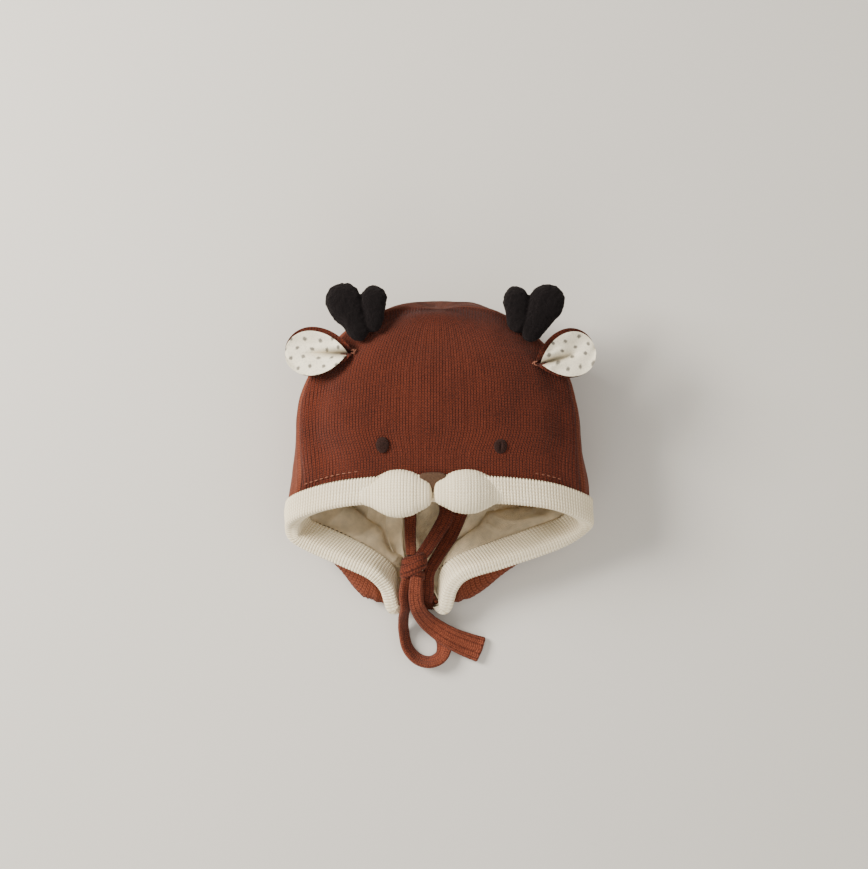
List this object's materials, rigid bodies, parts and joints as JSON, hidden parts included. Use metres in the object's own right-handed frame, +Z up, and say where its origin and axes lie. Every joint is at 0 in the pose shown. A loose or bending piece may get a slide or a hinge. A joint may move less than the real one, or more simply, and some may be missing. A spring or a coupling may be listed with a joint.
{
  "type": "baby hat",
  "caption": "Knitted baby bonnet with padded muzzle, embroidered eyes, cupped ears, plush antlers, rib face band, cotton lining and knotted ties.",
  "frame": {"origin": "middle of the hat's own footprint, on the surface that it lies on; the ties reach past it", "axes": "+X across the hat, +Y from the ties to the top of the crown, +Z up from the surface to the forehead"},
  "size_m": [0.1738, 0.2169, 0.0699],
  "materials": {
    "rust_knit": "fine stockinette knit, matt",
    "cream_rib": "rib knit, matt",
    "cotton_lining": "woven cotton, creased",
    "ear_cotton": "woven cotton with grey dots",
    "antler_plush": "short dark plush",
    "nose_felt": "brown felt",
    "eye_thread": "satin stitch, slightly shiny",
    "tie_knit": "fine knitted tube, matt"
  },
  "bodies": {
    "root": {"crown_front": "rust_knit", "crown_back": "rust_knit", "lining": "cotton_lining", "face_band": "cream_rib", "muzzle_left": "cream_rib", "muzzle_right": "cream_rib", "nose": "nose_felt", "eye_left": "eye_thread", "eye_right": "eye_thread", "ear_left_back": "rust_knit", "ear_left_front": "ear_cotton", "ear_right_back": "rust_knit", "ear_right_front": "ear_cotton", "antler_left": "antler_plush", "antler_right": "antler_plush", "tie_left_root": "tie_knit", "tie_left_loop": "tie_knit", "tie_left_end": "tie_knit", "tie_right_root": "tie_knit", "tie_right_end": "tie_knit", "tie_knot": "tie_knit"}
  },
  "joints": []
}
